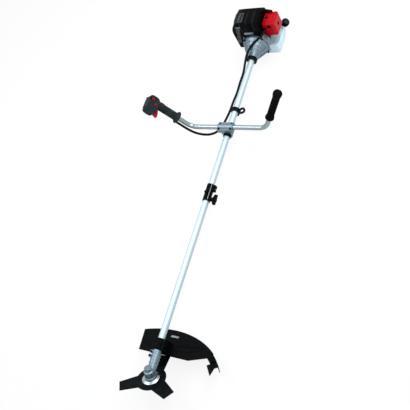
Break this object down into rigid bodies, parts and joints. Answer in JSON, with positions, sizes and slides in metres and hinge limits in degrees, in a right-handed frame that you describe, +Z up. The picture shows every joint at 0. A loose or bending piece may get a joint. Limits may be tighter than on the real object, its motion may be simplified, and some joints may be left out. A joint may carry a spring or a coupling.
{
  "type": "brush cutter",
  "caption": "Petrol brush cutter: split tube shaft with bevel drive head, toothed blade, blade guard, bicycle handlebar with throttle grip, and a fan-cooled engine with fuel tank",
  "frame": {"origin": "centre of the footprint at floor level, where the fuel tank and the guard's rim stand", "axes": "+X along the shaft from the blade to the engine, +Y to the operator's right, +Z up"},
  "size_m": [1.8765, 0.6371, 0.3811],
  "materials": {
    "black_plastic": "moulded black plastic with a fine grain",
    "red_plastic": "moulded red plastic, half gloss",
    "tank_plastic": "blow-moulded translucent plastic",
    "cast_alloy": "die-cast alloy, blasted",
    "tube_alloy": "drawn and satin-anodised tube",
    "black_enamel": "black enamel on steel",
    "steel": "machined steel",
    "black_rubber": "soft black rubber",
    "cable_sheath": "smooth black sheath"
  },
  "bodies": {
    "frame": {"coupler_sleeve": "black_plastic", "upper_tube": "tube_alloy", "handlebar": "tube_alloy", "handle_damper": "black_rubber", "handle_clamp_base": "cast_alloy", "handle_clamp_cap": "cast_alloy", "left_grip": "black_rubber", "throttle_housing_inner": "black_plastic", "throttle_housing_outer": "black_plastic", "throttle_cable": "cable_sheath", "harness_ring": "black_enamel", "engine_collar": "black_enamel", "clutch_housing": "cast_alloy", "crankcase_front": "cast_alloy", "crankcase_rear": "cast_alloy", "cylinder": "cast_alloy", "spark_plug": "steel", "muffler": "steel", "engine_cover": "black_plastic", "starter_housing": "black_plastic", "starter_handle": "black_plastic", "carburettor": "cast_alloy", "air_cleaner_base": "black_plastic", "air_cleaner_cover": "red_plastic", "fuel_tank": "tank_plastic", "cap_screws": "black_enamel"},
    "lower_boom": {"gear_case": "cast_alloy", "pinion_bearings": "steel", "output_bearings": "steel", "boom_screws": "black_enamel", "lower_tube": "tube_alloy", "guard": "black_plastic", "guard_clamp": "black_plastic", "guard_wing": "black_plastic", "line_cutter": "black_enamel"},
    "cutter": {"blade": "black_enamel", "upper_flange": "steel", "lower_flange": "steel", "blade_nut": "steel", "output_shaft": "steel", "driven_gear": "steel"},
    "lower_drive": {"bevel_pinion": "steel", "lower_drive_shaft": "steel"},
    "upper_drive": {"upper_drive_shaft": "steel", "clutch_drum": "steel"},
    "crank": {"crankshaft_front": "steel", "crankshaft_rear": "steel", "flywheel": "cast_alloy", "clutch_shoes": "steel"},
    "piston_group": {"piston": "cast_alloy", "connecting_rod": "steel"},
    "trigger": {"throttle_trigger": "red_plastic"},
    "lockout": {"lockout_lever": "red_plastic"},
    "switch": {"stop_switch": "red_plastic"},
    "idle_button": {"fast_idle_button": "red_plastic"},
    "knob": {"coupler_knob": "black_plastic"},
    "latch": {"coupler_latch": "black_plastic"},
    "cap": {"fuel_cap": "black_plastic"},
    "choke": {"choke_lever": "black_plastic"},
    "primer": {"primer_bulb": "black_rubber"}
  },
  "joints": [
    {"name": "boom_slide", "type": "slide", "parent": "frame", "child": "lower_boom", "axis": [-1, 0, 0], "range_m": [0, 0.045]},
    {"name": "blade_spin", "type": "hinge", "parent": "lower_boom", "child": "cutter", "pos_m": [-0.84987, -0.00118, 0.1215], "axis": [0.5299, 0, 0.848], "continuous": true},
    {"name": "lower_drive_spin", "type": "hinge", "parent": "lower_boom", "child": "lower_drive", "pos_m": [-0.84987, -0.00118, 0.1215], "axis": [1, 0, 0], "continuous": true},
    {"name": "upper_drive_spin", "type": "hinge", "parent": "frame", "child": "upper_drive", "pos_m": [0.69013, -0.00118, 0.1215], "axis": [1, 0, 0], "continuous": true},
    {"name": "crank_spin", "type": "hinge", "parent": "frame", "child": "crank", "pos_m": [0.83013, -0.00118, 0.1215], "axis": [1, 0, 0], "continuous": true},
    {"name": "piston_slide", "type": "slide", "parent": "frame", "child": "piston_group", "axis": [0, 0, -1], "range_m": [0, 0.034]},
    {"name": "trigger_pull", "type": "hinge", "parent": "frame", "child": "trigger", "pos_m": [0.24013, 0.27427, 0.3303], "axis": [0, -0.8746, 0.4848], "range_deg": [0, 22], "stiffness_Nm_per_rad": 0.6},
    {"name": "lockout_press", "type": "hinge", "parent": "frame", "child": "lockout", "pos_m": [0.27113, 0.27039, 0.3233], "axis": [0, 0.8746, -0.4848], "range_deg": [0, 8], "stiffness_Nm_per_rad": 0.5},
    {"name": "stop_switch_slide", "type": "slide", "parent": "frame", "child": "switch", "axis": [0, 0.4848, 0.8746], "range_m": [0, 0.006]},
    {"name": "idle_button_press", "type": "slide", "parent": "frame", "child": "idle_button", "axis": [0, 0.8746, -0.4848], "range_m": [0, 0.0025], "stiffness_N_per_m": 400},
    {"name": "knob_turn", "type": "hinge", "parent": "frame", "child": "knob", "pos_m": [-0.08687, -0.02468, 0.1215], "axis": [0, -1, 0], "range_deg": [0, 540]},
    {"name": "latch_lift", "type": "slide", "parent": "frame", "child": "latch", "axis": [0, 0, 1], "range_m": [0, 0.005], "stiffness_N_per_m": 600},
    {"name": "fuel_cap_turn", "type": "hinge", "parent": "frame", "child": "cap", "pos_m": [0.91413, -0.06918, 0.0585], "axis": [0, -0.7071, 0.7071], "range_deg": [0, 120]},
    {"name": "choke_turn", "type": "hinge", "parent": "frame", "child": "choke", "pos_m": [0.87213, -0.06218, 0.1765], "axis": [1, 0, 0], "range_deg": [0, 60]},
    {"name": "primer_press", "type": "slide", "parent": "frame", "child": "primer", "axis": [0, 1, 0], "range_m": [0, 0.0025], "stiffness_N_per_m": 300}
  ],
  "couplings": [
    {"joint": "lower_drive_spin", "follows": "blade_spin", "ratio": -1.3571},
    {"joint": "upper_drive_spin", "follows": "blade_spin", "ratio": -1.3571}
  ]
}
